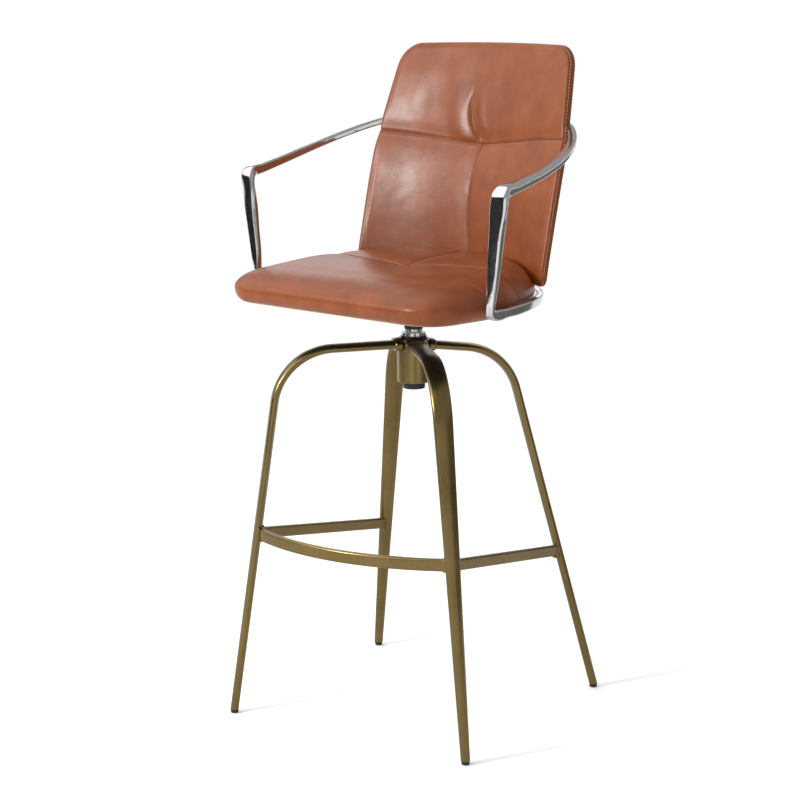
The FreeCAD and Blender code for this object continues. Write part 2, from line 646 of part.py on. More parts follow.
# ---- seat pieces ------------------------------------------------------------------------------
def pad_outline(inset, z):
    """The seat's plan: straight front, round front corners, sides and rear inside the lower rail."""
    half, front = PAD_HALF_WIDTH - inset, PAD_FRONT + inset
    corner = PAD_FRONT_CORNER - inset
    side_start = Vector(half, front + corner, z)
    points = [side_start]
    for angle in (20.0, 30.0, 40.0, 50.0, 60.0, 70.0, 80.0, 90.0):
        point, _, outward = band_frame("lower", angle)
        spot = point - outward * (PAD_RING_GAP + inset)
        points.append(Vector(spot.x, spot.y, z))
    side = Part.BSplineCurve()
    side.interpolate(points, InitialTangent=Vector(0, 1, 0), FinalTangent=Vector(-1, 0, 0))
    right = side.toShape()
    centre = Vector(half - corner, front + corner, z)
    diagonal = Vector(math.sqrt(0.5), -math.sqrt(0.5), 0.0)
    low = Vector(half - corner, front, z)
    arc = Part.Arc(low, centre + diagonal * corner, side_start).toShape()
    front_line = Part.LineSegment(Vector(-low.x, low.y, z), low).toShape()
    left_arc, left = mirrored(arc), mirrored(right)
    return Part.Wire(Part.__sortEdges__([front_line, arc, right, left, left_arc]))


def slab(inset, low, high):
    return Part.Face(pad_outline(inset, low)).extrude(Vector(0, 0, high - low))


def seat_pieces():
    pan = slab(PAN_INSET, SEAT_BOTTOM, SEAT_BOTTOM + PAN_THICK)
    cushion = slab(0.0, SEAT_BOTTOM, PAD_TOP_REAR + 20.0)
    rear = band_point("lower", 90.0).y
    slope = math.degrees(math.atan((PAD_TOP_REAR - PAD_TOP_FRONT) / (rear - PAD_FRONT)))
    above = Part.makeBox(800.0, 800.0, 100.0, Vector(-400.0, 0.0, 0.0))
    above.rotate(Vector(0, 0, 0), Vector(1, 0, 0), slope)
    above.translate(Vector(0.0, PAD_FRONT - 60.0, PAD_TOP_FRONT - 60.0 * math.tan(math.radians(slope))))
    cushion = cushion.cut(above)
    top_edges = [e for e in cushion.Edges if e.BoundBox.ZMin > PAD_TOP_FRONT - 1.0]
    cushion = cushion.makeFillet(PAD_TOP_ROUND, top_edges)
    low_edges = [e for e in cushion.Edges if e.BoundBox.ZMax < SEAT_BOTTOM + 0.01]
    cushion = cushion.makeFillet(PAD_BOTTOM_ROUND, low_edges)
    behind_back = back_layer(-BACK_GAP / BACK_EDGE_THICK, 2.5)
    above_foot = Part.makeBox(800.0, 400.0, 100.0, Vector(-400.0, 0.0, BACK_BOTTOM - BACK_GAP))
    cushion = cushion.cut(pan).cut(behind_back.common(above_foot))
    cover = slab(DUST_COVER_INSET, SEAT_BOTTOM - DUST_COVER_THICK, SEAT_BOTTOM)
    cover = cover.cut(cylinder(BOSS_FLARE, SEAT_BOTTOM - 10.0, SEAT_BOTTOM + 1.0))
    nuts = [tee_nut(x, y) for x, y in plate_hole_places()]
    for x, y in plate_hole_places():
        hole = cylinder(BOLT_RADIUS + 1.4, SEAT_BOTTOM - 3.0, SEAT_BOTTOM + PAN_THICK, x, y)
        recess = cylinder(10.0, SEAT_BOTTOM + PAN_THICK - 1.5, SEAT_BOTTOM + PAN_THICK, x, y)
        pan = pan.cut(hole).cut(recess)
        cover = cover.cut(cylinder(BOLT_RADIUS + 1.4, SEAT_BOTTOM - 3.0, SEAT_BOTTOM + 1.0, x, y))
    under_plate = SEAT_BOTTOM - DUST_COVER_THICK - PLATE_THICK
    bolts = [bolt(x, y, under_plate, 17.0, BOLT_RADIUS - 0.05, BOLT_HEAD, BOLT_HEAD_TALL)
             for x, y in plate_hole_places()]
    return {"seat_pan": pan, "seat_cushion": cushion, "seat_dust_cover": cover,
            "seat_tee_nuts": group(nuts), "swivel_plate_bolts": group(bolts)}


# ---- back pieces ------------------------------------------------------------------------------
def back_arc(z, edge_y, middle_y):
    """Plan arc through the reference edges and the middle, carried on past the edges."""
    sag = middle_y - edge_y
    radius = (BACK_REF_HALF ** 2 + sag ** 2) / (2.0 * sag)
    end_y = middle_y - (radius - math.sqrt(radius ** 2 - BACK_LOFT_HALF ** 2))
    return Vector(-BACK_LOFT_HALF, end_y, z), Vector(0.0, middle_y, z), Vector(BACK_LOFT_HALF, end_y, z)


def back_layer(front_share, rear_share):
    """A layer of the curved, reclined back between two shares of its thickness."""
    sections = []
    for z, edge_y, middle_y in BACK_LEVELS:
        front = back_arc(z, edge_y + BACK_EDGE_THICK * front_share, middle_y + BACK_MID_THICK * front_share)
        rear = back_arc(z, edge_y + BACK_EDGE_THICK * rear_share, middle_y + BACK_MID_THICK * rear_share)
        sections.append(Part.Wire([
            Part.Arc(*front).toShape(),
            Part.LineSegment(front[2], rear[2]).toShape(),
            Part.Arc(rear[2], rear[1], rear[0]).toShape(),
            Part.LineSegment(rear[0], front[0]).toShape(),
        ]))
    return Part.makeLoft(sections, True, False)


def back_outline(inset):
    """Prism along Y with the back's outline as seen from the front."""
    low, high = BACK_BOTTOM + inset, BACK_TOP - inset
    half_low, half_top = BACK_HALF_LOW - inset, BACK_HALF_TOP - inset
    shoulder = high - BACK_TOP_ARCH
    points = [Vector(-half_low, 0, low), Vector(half_low, 0, low), Vector(half_low, 0, BACK_TAPER_START),
              Vector(half_top, 0, shoulder)]
    edges = [Part.LineSegment(points[i], points[i + 1]).toShape() for i in range(3)]
    left_top = Vector(-half_top, 0, shoulder)
    left_side = Vector(-half_low, 0, BACK_TAPER_START)
    edges.append(Part.Arc(points[3], Vector(0, 0, high), left_top).toShape())
    edges.append(Part.LineSegment(left_top, left_side).toShape())
    edges.append(Part.LineSegment(left_side, points[0]).toShape())
    prism = Part.Face(Part.Wire(edges)).extrude(Vector(0, 400.0, 0))

    def depth_edges(z_low, z_high):
        return [e for e in prism.Edges if e.BoundBox.YLength > 300.0
                and z_low < e.BoundBox.ZMin < z_high]
    prism = prism.makeFillet(BACK_TOP_CORNER - inset, depth_edges(shoulder - 1.0, shoulder + 1.0))
    prism = prism.makeFillet(400.0, depth_edges(BACK_TAPER_START - 1.0, BACK_TAPER_START + 1.0))
    return prism.makeFillet(BACK_LOW_CORNER, depth_edges(low - 1.0, low + 1.0))


def back_pieces():
    shell_front = BACK_CUSHION_SHARE
    shell_rear = BACK_CUSHION_SHARE + BACK_SHELL_SHARE
    cushion = back_layer(0.0, shell_front - BACK_LAYER_GAP).common(back_outline(0.0))
    shell = back_layer(shell_front, shell_rear - BACK_LAYER_GAP).common(back_outline(SHELL_INSET))
    panel = back_layer(shell_rear, 1.0).common(back_outline(1.0))
    return {"back_cushion": largest(cushion), "back_shell": largest(shell), "back_rear_panel": largest(panel)}


# ---- brackets and fasteners -------------------------------------------------------------------
def stay():
    """Bracket under the seat board whose upright leg stands inside the back, on the +X side."""
    low = SEAT_BOTTOM - STAY_THICK
    rise = STAY_TOP - low
    upright = Part.makeBox(STAY_WIDTH, STAY_THICK, rise / math.cos(math.radians(STAY_LEAN)))
    upright.rotate(Vector(0, 0, 0), Vector(1, 0, 0), -STAY_LEAN)
    upright.translate(Vector(STAY_X - STAY_WIDTH / 2.0, STAY_FOOT_Y, low))
    upright = upright.cut(Part.makeBox(200.0, 200.0, 20.0, Vector(0.0, 50.0, low - 20.0)))
    foot = Part.makeBox(STAY_WIDTH, STAY_FOOT_Y + STAY_THICK - STAY_FOOT_FRONT, STAY_THICK,
                        Vector(STAY_X - STAY_WIDTH / 2.0, STAY_FOOT_FRONT, low))
    return upright.fuse(foot).removeSplitter()


def rail_stud(y):
    """Stud from the seat board's edge, through the leather, into the lower rail, on the +X side."""
    point, _, outward = band_frame("lower", angle_at_y("lower", y))
    board = PAD_RING_GAP + PAN_INSET
    start = Vector(point.x, point.y, STUD_HEIGHT) - outward * (board + STUD_IN_BOARD)
    rail_inside = LOWER_FRONT_SIZE[0] / 2.0
    length = board + STUD_IN_BOARD - rail_inside + STUD_IN_RAIL
    return Part.makeCylinder(STUD_RADIUS, length, start, outward)


def wood_screw(x, y, seat_z):
    return bolt(x, y, seat_z, WOOD_SCREW_LENGTH, WOOD_SCREW_RADIUS, WOOD_SCREW_HEAD, WOOD_SCREW_HEAD_TALL)


def back_screw():
    """Screw through the upper rail and its spacer into the back's shell, on the +X side."""
    point = band_point("upper", angle_at_x("upper", SPACER_X))
    screw = bolt(point.x, point.y, point.z, BACK_SCREW_LENGTH, SCREW_RADIUS, SCREW_HEAD, SCREW_HEAD_TALL)
    screw.rotate(point, Vector(1, 0, 0), 90.0)
    return screw.translated(Vector(0.0, UPPER_REAR_SIZE[0] / 2.0 + 0.6, 0.0)), point


def angle_at_x(level, x):
    """Rail angle where the centre line comes in to a given x."""
    low, high = 0.0, 90.0
    for _ in range(40):
        middle = (low + high) / 2.0
        if band_point(level, middle).x > x:
            low = middle
        else:
            high = middle
    return low


def both_sides(shape):
    return [shape, mirrored(shape)]


def fit_brackets(nodes):
    """Adds brackets, spacers, pins and screws, and makes room for them in their neighbours."""
    stays = both_sides(stay())
    studs, wood_screws = [], []
    for y in STUD_AT_Y:
        studs += both_sides(rail_stud(y))
    for y in (STAY_FOOT_FRONT + 10.0, STAY_FOOT_FRONT + 30.0):
        wood_screws += both_sides(wood_screw(STAY_X, y, SEAT_BOTTOM - STAY_THICK))
    screw, point = back_screw()
    back_screws = both_sides(screw)
    spacer = Part.makeCylinder(SPACER_RADIUS, 40.0, Vector(point.x, point.y - 40.0, point.z), Vector(0, 1, 0))
    back_solids = [nodes["back_cushion"], nodes["back_shell"], nodes["back_rear_panel"]]
    spacer = spacer.cut(nodes["arm_right"]).cut(back_solids).cut(screw)
    spacer = min(spacer.Solids, key=lambda solid: abs(solid.CenterOfMass.y - point.y + 8.0))
    pins = []
    for level in ("upper", "lower"):
        rear = band_point(level, 90.0)
        pins.append(Part.makeCylinder(PIN_RADIUS, 2 * PIN_HALF, Vector(-PIN_HALF, rear.y, rear.z),
                                      Vector(1, 0, 0)))
    rail_room = both_sides(arm_right(RAIL_GROOVE_GAP))
    room = {
        "seat_pan": stays + wood_screws + studs,
        "seat_cushion": stays + studs,
        "seat_dust_cover": stays,
        "back_cushion": stays + rail_room,
        "back_shell": stays + back_screws + rail_room,
        "back_rear_panel": stays + back_screws + rail_room,
        "arm_right": studs + back_screws + pins,
        "arm_left": studs + back_screws + pins,
    }
    for name, tools in room.items():
        nodes[name] = largest(nodes[name].cut(tools))
    nodes["rail_studs"] = group(studs)
    nodes["back_stays"] = group([largest(part.cut(wood_screws)) for part in stays])
    nodes["back_spacers"] = group(both_sides(spacer))
    nodes["back_screws"] = group(back_screws)
    nodes["bracket_wood_screws"] = group(wood_screws)
    nodes["arm_joint_pins"] = group(pins)


# ---- everything together ----------------------------------------------------------------------
def main():
    nodes = base_pieces()
    nodes["spindle"] = spindle()
    nodes["spindle_circlip"] = circlip()
    nodes["spindle_flange"] = ring(FLANGE_RADIUS, SHAFT_RADIUS, COLLAR_TOP + BODY_GAP, FLANGE_TOP)
    nodes["spindle_neck"] = neck_collar()
    nodes["swivel_plate"] = swivel_plate()
    right = arm_right()
    nodes["arm_right"] = right
    nodes["arm_left"] = mirrored(right)
    nodes.update(seat_pieces())
    nodes.update(back_pieces())
    fit_brackets(nodes)
    for name, shape in sorted(nodes.items()):
        box = shape.optimalBoundingBox(False, False)
        print(f"{name:26s} valid {shape.isValid()} solids {len(shape.Solids)} "
              f"volume {shape.Volume / 1000.0:9.2f} cm3 "
              f"x {box.XMin:7.1f} {box.XMax:7.1f} y {box.YMin:7.1f} {box.YMax:7.1f} "
              f"z {box.ZMin:7.1f} {box.ZMax:7.1f}")
        shape.exportStep(f"parts/{name}.step")


main()
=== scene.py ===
import json
import math

import bpy
import numpy as np
from mathutils import Matrix, Vector, noise


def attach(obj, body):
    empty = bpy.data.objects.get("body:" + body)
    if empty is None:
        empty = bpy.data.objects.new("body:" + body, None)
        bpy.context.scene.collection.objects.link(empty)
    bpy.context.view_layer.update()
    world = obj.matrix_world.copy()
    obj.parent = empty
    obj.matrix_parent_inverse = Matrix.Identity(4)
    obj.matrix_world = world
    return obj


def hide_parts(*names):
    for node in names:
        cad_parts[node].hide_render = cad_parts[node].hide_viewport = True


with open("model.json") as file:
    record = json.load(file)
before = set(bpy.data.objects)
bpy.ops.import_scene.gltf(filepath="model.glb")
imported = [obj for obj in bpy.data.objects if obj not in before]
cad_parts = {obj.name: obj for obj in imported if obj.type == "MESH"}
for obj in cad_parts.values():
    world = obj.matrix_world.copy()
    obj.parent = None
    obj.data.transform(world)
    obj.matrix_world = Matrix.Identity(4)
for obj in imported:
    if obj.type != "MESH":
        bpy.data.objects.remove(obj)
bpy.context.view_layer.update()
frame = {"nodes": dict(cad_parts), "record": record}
NODES = frame["nodes"]
MM = 0.001


# ---------------------------------------------------------------- sizes of the pads, in mm
BACK_LEVELS = [                     # height, y of the front at the side edges and in the middle
    (715.0, 69.0, 128.0),
    (790.0, 86.0, 134.0),
    (870.0, 105.0, 144.0),
    (950.0, 126.0, 163.0),
    (1030.0, 147.0, 177.0),
    (1105.0, 167.0, 191.0),
]
BACK_REF_HALF = 208.0               # half width at which the side levels above are given
BACK_EDGE_THICK = 18.0
BACK_MID_THICK = 26.0
BACK_HALF_LOW = 208.5               # half width below the taper and at the top
BACK_HALF_TOP = 185.0
BACK_BOTTOM = 720.0
BACK_TOP = 1096.0
BACK_TAPER_START = 925.0
BACK_TOP_CORNER = 34.0
BACK_LOW_CORNER = 14.0
BACK_TOP_ARCH = 5.0
BACK_TUFT = (0.0, 933.0)            # x, z
SEAT_TUFT = (0.0, -19.0)            # x, y
SEAT_BOTTOM = 690.5
SEAT_HALF = 241.0
SEAT_FRONT = -211.0
SEAT_FRONT_CORNER = 65.0
SEAT_REAR = 168.0
RAIL_CORNER = (259.0, -103.5)       # x, y where the lower rail's sweep round the seat begins
RAIL_REAR = 181.0                   # y of the sweep behind the seat
RAIL_POWERS = (2.7, 1.56)           # how square the sweep is along x and y
RAIL_GAP = 8.5                      # from the rail's centre line to the seat's side


# ---------------------------------------------------------------- materials
class Look:
    """Small builder for one node material."""

    def __init__(self, name):
        self.material = bpy.data.materials.new(name)
        self.material.use_nodes = True
        self.tree = self.material.node_tree
        self.tree.nodes.clear()
        self.out = self.tree.nodes.new("ShaderNodeOutputMaterial")
        self.shader = self.tree.nodes.new("ShaderNodeBsdfPrincipled")
        self.link(self.shader.outputs["BSDF"], self.out.inputs["Surface"])
        self.place = self.tree.nodes.new("ShaderNodeTexCoord").outputs["Object"]

    def link(self, a, b):
        self.tree.links.new(a, b)

    def set(self, **values):
        for key, value in values.items():
            self.shader.inputs[key.replace("_", " ")].default_value = value

    def stretched(self, scale):
        node = self.tree.nodes.new("ShaderNodeMapping")
        node.inputs["Scale"].default_value = scale
        self.link(self.place, node.inputs["Vector"])
        return node.outputs["Vector"]

    def noise(self, scale, detail=3.0, rough=0.5, at=None):
        node = self.tree.nodes.new("ShaderNodeTexNoise")
        node.inputs["Scale"].default_value = scale
        node.inputs["Detail"].default_value = detail
        node.inputs["Roughness"].default_value = rough
        self.link(at or self.place, node.inputs["Vector"])
        return node.outputs["Fac"]

    def cells(self, scale):
        node = self.tree.nodes.new("ShaderNodeTexVoronoi")
        node.feature = "DISTANCE_TO_EDGE"
        node.inputs["Scale"].default_value = scale
        self.link(self.place, node.inputs["Vector"])
        return node.outputs["Distance"]

    def ramp(self, value, stops):
        node = self.tree.nodes.new("ShaderNodeValToRGB")
        elements = node.color_ramp.elements
        while len(elements) < len(stops):
            elements.new(0.5)
        for element, (position, colour) in zip(elements, stops):
            element.position = position
            element.color = (*colour, 1.0)
        self.link(value, node.inputs["Fac"])
        return node.outputs["Color"]

    def span(self, value, low, high, from_low=0.3, from_high=0.7):
        node = self.tree.nodes.new("ShaderNodeMapRange")
        node.inputs["From Min"].default_value = from_low
        node.inputs["From Max"].default_value = from_high
        node.inputs["To Min"].default_value = low
        node.inputs["To Max"].default_value = high
        self.link(value, node.inputs["Value"])
        return node.outputs["Result"]

    def bump(self, height, strength, distance, after=None):
        node = self.tree.nodes.new("ShaderNodeBump")
        node.inputs["Strength"].default_value = strength
        node.inputs["Distance"].default_value = distance
        self.link(height, node.inputs["Height"])
        if after is not None:
            self.link(after, node.inputs["Normal"])
        return node.outputs["Normal"]

    def finish(self, colour=None, roughness=None, normal=None):
        if colour is not None:
            self.link(colour, self.shader.inputs["Base Color"])
        if roughness is not None:
            self.link(roughness, self.shader.inputs["Roughness"])
        if normal is not None:
            self.link(normal, self.shader.inputs["Normal"])
        return self.material


def leather(name, dark=1.0):
    look = Look(name)
    look.set(Specular_IOR_Level=0.26, Coat_Weight=0.10, Coat_Roughness=0.20)
    mottle = look.noise(21.0, 6.0, 0.62)
    base = (0.205 * dark, 0.0500 * dark, 0.0108 * dark)
    lift = (0.242 * dark, 0.0640 * dark, 0.0160 * dark)
    deep = (0.172 * dark, 0.0395 * dark, 0.0082 * dark)
    colour = look.ramp(mottle, [(0.32, deep), (0.5, base), (0.70, lift)])
    rough = look.span(look.noise(330.0, 5.0, 0.7), 0.30, 0.45)
    pebble = look.bump(look.cells(760.0), 0.27, 0.0004)
    pores = look.bump(look.noise(520.0, 5.0, 0.7), 0.34, 0.0004, after=pebble)
    return look.finish(colour, rough, pores)


def chrome(name, tint, low, high):
    look = Look(name)
    look.set(Metallic=1.0, Base_Color=(*tint, 1.0))
    rough = look.span(look.noise(90.0, 5.0, 0.65), low, high)
    ripple = look.bump(look.noise(70.0, 2.0, 0.5), 0.06, 0.0004)
    cast = look.bump(look.noise(22.0, 1.0, 0.4), 0.16, 0.002, after=ripple)
    return look.finish(None, rough, cast)


def antique_brass(name):
    look = Look(name)
    look.set(Metallic=1.0)
    streak = look.noise(1.0, 4.0, 0.6, at=look.stretched((900.0, 900.0, 14.0)))
    cloud = look.noise(9.0, 4.0, 0.6)
    patina = look.tree.nodes.new("ShaderNodeMix")
    patina.data_type = "RGBA"
    look.link(look.span(cloud, 0.0, 1.0, 0.25, 0.75), patina.inputs["Factor"])
    dull = look.ramp(streak, [(0.30, (0.176, 0.122, 0.044)), (0.70, (0.212, 0.150, 0.058))])
    bright = look.ramp(streak, [(0.30, (0.252, 0.180, 0.071)), (0.70, (0.295, 0.217, 0.091))])
    look.link(dull, patina.inputs[6])
    look.link(bright, patina.inputs[7])
    rough = look.span(cloud, 0.25, 0.33)
    brushed = look.bump(streak, 0.03, 0.0002)
    return look.finish(patina.outputs[2], rough, brushed)


def plain(name, colour, low, high, scale, metallic=0.0):
    look = Look(name)
    look.set(Metallic=metallic)
    shade = look.noise(scale, 4.0, 0.6)
    darker = tuple(part * 0.72 for part in colour)
    tone = look.ramp(shade, [(0.3, darker), (0.7, colour)])
    rough = look.span(shade, low, high)
    return look.finish(tone, rough, look.bump(look.noise(scale * 9.0, 3.0), 0.12, 0.0002))


def woven(name, colour):
    look = Look(name)
    look.set(Sheen_Weight=0.2)
    threads = look.noise(1.0, 2.0, 0.5, at=look.stretched((900.0, 2600.0, 900.0)))
    tone = look.ramp(threads, [(0.3, tuple(part * 0.5 for part in colour)), (0.7, colour)])
    return look.finish(tone, look.span(threads, 0.75, 0.95), look.bump(threads, 0.5, 0.0003))


def plywood(name):
    look = Look(name)
    grain = look.noise(1.0, 5.0, 0.6, at=look.stretched((12.0, 180.0, 700.0)))
    tone = look.ramp(grain, [(0.3, (0.34, 0.21, 0.10)), (0.7, (0.58, 0.41, 0.23))])
    return look.finish(tone, look.span(grain, 0.5, 0.75), look.bump(grain, 0.2, 0.0003))


LOOKS = {
    "brass_tube": antique_brass("antique_brass"),
    "black_plastic": plain("black_plastic", (0.009, 0.009, 0.0095), 0.30, 0.5, 120.0),
    "bright_steel": plain("bright_steel", (0.60, 0.60, 0.60), 0.25, 0.4, 140.0, metallic=1.0),
    "chrome_trim": chrome("chrome_trim", (0.52, 0.52, 0.53), 0.08, 0.2),
    "chrome_arm": chrome("chrome_arm", (0.58, 0.575, 0.575), 0.07, 0.16),
    "black_metal": plain("black_metal", (0.022, 0.022, 0.022), 0.38, 0.55, 160.0),
    "plywood": plywood("plywood"),
    "black_cloth": woven("black_cloth", (0.022, 0.022, 0.022)),
    "leather_seat": leather("leather_seat"),
    "leather_back": leather("leather_back"),
}
THREAD = woven("thread", (0.70, 0.42, 0.26))
# Leather darkened to 0.30, laid in the seams' creases as painted shadow.
SEAM_SHADOW = leather("seam_painted_shadow", 0.30)

slots = {entry["node"]: entry["material_slot"] for entry in frame["record"]["subparts"]}
for node_name, node_object in NODES.items():
    node_object.data.materials.clear()
    node_object.data.materials.append(LOOKS[slots[node_name]])


# ---------------------------------------------------------------- mesh helpers
def mesh_object(name, points, faces, material, smooth=True):
    mesh = bpy.data.meshes.new(name)
    mesh.from_pydata([tuple(p) for p in points], [], faces)
    mesh.update()
    made = bpy.data.objects.new(name, mesh)
    bpy.context.scene.collection.objects.link(made)
    made.data.materials.append(material)
    if smooth:
        mesh.polygons.foreach_set("use_smooth", [True] * len(mesh.polygons))
    return made


def smoothstep(value, low, high):
    share = np.clip((value - low) / (high - low), 0.0, 1.0)
    return share * share * (3.0 - 2.0 * share)


def bell(distance, width):
    return np.exp(-(distance / width) ** 2)


def dip(distance, form):
    """A soft hollow round a point or line, whose form is its depth and its width."""
    depth, width = form
    return depth * bell(distance, width)


def line_distance(x, y, line):
    """Distance of every (x, y) from a polyline."""
    best = np.full(x.shape, np.inf)
    for (ax, ay), (bx, by) in zip(line, line[1:]):
        length = math.dist((ax, ay), (bx, by))
        dx, dy = (bx - ax) / length, (by - ay) / length
        reach = np.clip((x - ax) * dx + (y - ay) * dy, 0.0, length)
        best = np.minimum(best, np.hypot(x - ax - dx * reach, y - ay - dy * reach))
    return best


def smooth_line(points, steps=12):
    """A soft curve through a few points, as a polyline."""
    points = [np.array(p, float) for p in points]
    padded = [2 * points[0] - points[1]] + points + [2 * points[-1] - points[-2]]
    line = []
    for a, b, c, d in zip(padded, padded[1:], padded[2:], padded[3:]):
        for step in range(steps):
            t = step / steps
            line.append(tuple(0.5 * (2 * b + (c - a) * t + (2 * a - 5 * b + 4 * c - d) * t * t
                                     + (3 * b - a - 3 * c + d) * t ** 3)))
    line.append(tuple(points[-1]))
    return line


def soft_noise(x, y, scale, seed):
    """Smooth random field of about -1 to 1 over a grid."""
    flat = [noise.noise(Vector((a / scale, b / scale, seed))) for a, b in zip(x.ravel(), y.ravel())]
    return np.array(flat).reshape(x.shape)


# ---------------------------------------------------------------- back
TOP_ROLL = 3.0                      # how far the back's top edge leans off to the rear
BOTTOM_ROLL = 5.0                   # and how far its bottom edge does
BACK_CROSS_SEAM = smooth_line([(-212, 950), (-150, 946), (-80, 939), (-25, 934), (0, 933), (25, 934.5),
                               (80, 940), (150, 947), (212, 951)])
BACK_MID_SEAM = smooth_line([(0, 933), (-6, 900), (-7, 850), (-4, 800), (0, 760), (0, 722)])


def back_rows(z):
    heights = [level[0] for level in BACK_LEVELS]
    edge = np.interp(z, heights, [level[1] for level in BACK_LEVELS])
    middle = np.interp(z, heights, [level[2] for level in BACK_LEVELS])
    return edge, middle


def smooth_back_rows(z):
    """Same as back_rows, without kinks at the levels."""
    total_edge, total_middle, steps = 0.0, 0.0, 9
    for index in range(steps):
        edge, middle = back_rows(z + (index - steps // 2) * 9.0)
        total_edge = total_edge + edge
        total_middle = total_middle + middle
    return total_edge / steps, total_middle / steps


def back_surface_y(x, z, depth_share):
    edge, middle = smooth_back_rows(z)
    edge = edge + BACK_EDGE_THICK * depth_share
    middle = middle + BACK_MID_THICK * depth_share
    sag = middle - edge
    radius = (BACK_REF_HALF ** 2 + sag ** 2) / (2.0 * sag)
    return middle - (radius - np.sqrt(radius ** 2 - x ** 2))


def back_half(z, inset):
    """Half width of the back's outline at a height, with round corners."""
    low, high = BACK_BOTTOM + inset, BACK_TOP - BACK_TOP_ARCH * 0.4 - inset
    taper = smoothstep(z, BACK_TAPER_START - 60.0, BACK_TOP + 30.0)
    lean = np.clip((z - BACK_TAPER_START + 10.0) / (BACK_TOP - BACK_TAPER_START), 0.0, None)
    half = BACK_HALF_LOW - inset - (BACK_HALF_LOW - BACK_HALF_TOP) * (0.35 * taper + 0.65 * lean ** 1.4)
    top_round = BACK_TOP_CORNER - inset
    over = np.clip((z - (high - top_round)) / top_round, 0.0, 1.0)
    half = half - top_round * (1.0 - np.sqrt(np.clip(1.0 - over ** 2, 0.0, 1.0)))
    under = np.clip(((low + BACK_LOW_CORNER) - z) / BACK_LOW_CORNER, 0.0, 1.0)
    return half - BACK_LOW_CORNER * (1.0 - np.sqrt(np.clip(1.0 - under ** 2, 0.0, 1.0)))


def row_heights(count, inset):
    """Heights of the grid's rows, closer together in the corners' rounds."""
    low, high = BACK_BOTTOM + inset, BACK_TOP - BACK_TOP_ARCH * 0.4 - inset
    plain_rows = np.linspace(0.0, 1.0, count)
    top_round = (BACK_TOP_CORNER - inset) / (high - low)
    low_round = BACK_LOW_CORNER / (high - low)
    share = plain_rows.copy()
    over = plain_rows > 1.0 - top_round
    angle = (plain_rows[over] - (1.0 - top_round)) / top_round * math.pi / 2.0
    share[over] = 1.0 - top_round + top_round * np.sin(angle)
    under = plain_rows < low_round
    angle = (low_round - plain_rows[under]) / low_round * math.pi / 2.0
    share[under] = low_round - low_round * np.sin(angle)
    return low + (high - low) * share


def back_grid(columns, rows, inset):
    z_rows = row_heights(rows, inset)
    half = back_half(z_rows, inset)
    s = np.linspace(-1.0, 1.0, columns)
    x = half[:, None] * s[None, :]
    z = np.repeat(z_rows[:, None], columns, axis=1)
    arch = BACK_TOP_ARCH * (0.6 - (x / BACK_HALF_TOP) ** 2 * 0.6)
    z = z + arch * smoothstep(z, 1000.0, BACK_TOP)
    return x, z


CROSS_HOLLOW = (2.4, 17.0)          # depth and width of the hollows along seams and round the tuft, in mm
CROSS_PINCH = (1.9, 2.2)
UPRIGHT_HOLLOW = (1.9, 16.0)
UPRIGHT_PINCH = (1.4, 2.2)
TUFT_HOLLOW = (3.4, 36.0)
TUFT_PINCH = (2.0, 12.0)
CREASE = (1.9, 5.0)
CREASE_LINE = (1.0, 1.9)
CREASE_SHOULDER = (1.8, 8.0)
CREASE_PUFF = (3.0, 20.0)
RIDGE = (1.2, 9.0)
SHOULDER_AT = 9.0                   # x from the crease to its shoulder, to the ridge and to the puff
RIDGE_AT = 22.0
PUFF_AT = -27.0
FOLD = ((933, 0), (941, -6), (949, -12), (957, -17), (965, -21), (978, -25), (994, -27), (1014, -26),
        (1040, -22))                # height and x of the crease that rises from the tuft


def fold_centre(z):
    heights, places = zip(*FOLD)
    return sum(np.interp(z + shift, heights, places) for shift in (-6.0, -2.0, 2.0, 6.0)) / 4.0


def back_front_y(x, z):
    """Front of the back: crowned panels between the seams, and the pinched folds over the tuft."""
    y = back_surface_y(x, z, 0.0)
    cross = line_distance(x, z, BACK_CROSS_SEAM)
    upright = line_distance(x, z, BACK_MID_SEAM)
    tuft = np.hypot(x - BACK_TUFT[0], z - BACK_TUFT[1])
    y = y + dip(cross, CROSS_HOLLOW) + dip(cross, CROSS_PINCH)
    y = y + dip(upright, UPRIGHT_HOLLOW) + dip(upright, UPRIGHT_PINCH)
    y = y + dip(tuft, TUFT_HOLLOW) + dip(tuft, TUFT_PINCH)
    gap = x - fold_centre(z)
    strength = smoothstep(z, 934.0, 944.0) * (1.0 - smoothstep(z, 972.0, 1034.0))
    y = y + strength * (dip(gap, CREASE) + dip(gap, CREASE_LINE) + dip(gap - SHOULDER_AT, CREASE_SHOULDER)
                        - dip(gap - PUFF_AT, CREASE_PUFF))
    strength = smoothstep(z, 944.0, 962.0) * (1.0 - smoothstep(z, 985.0, 1044.0))
    y = y - strength * dip(gap - RIDGE_AT, RIDGE)
    y = y + BOTTOM_ROLL * (1.0 - smoothstep(z, BACK_BOTTOM - 8.0, BACK_BOTTOM + 34.0))
    return y + TOP_ROLL * smoothstep(z, BACK_TOP - 56.0, BACK_TOP + 16.0)


def grid_faces(rows, columns, start=0, flip=False):
    faces = []
    for row in range(rows - 1):
        for column in range(columns - 1):
            a = start + row * columns + column
            quad = (a, a + 1, a + columns + 1, a + columns)
            faces.append(quad[::-1] if flip else quad)
    return faces


def rim_indices(rows, columns):
    """Indices of a grid's outer points, once round."""
    bottom = list(range(columns))
    right = [row * columns + columns - 1 for row in range(1, rows)]
    top = [(rows - 1) * columns + column for column in range(columns - 2, -1, -1)]
    left = [row * columns for row in range(rows - 2, 0, -1)]
    return bottom + right + top + left


def joined_rims(first, second):
    count = len(first)
    return [(first[i], second[i], second[(i + 1) % count], first[(i + 1) % count]) for i in range(count)]


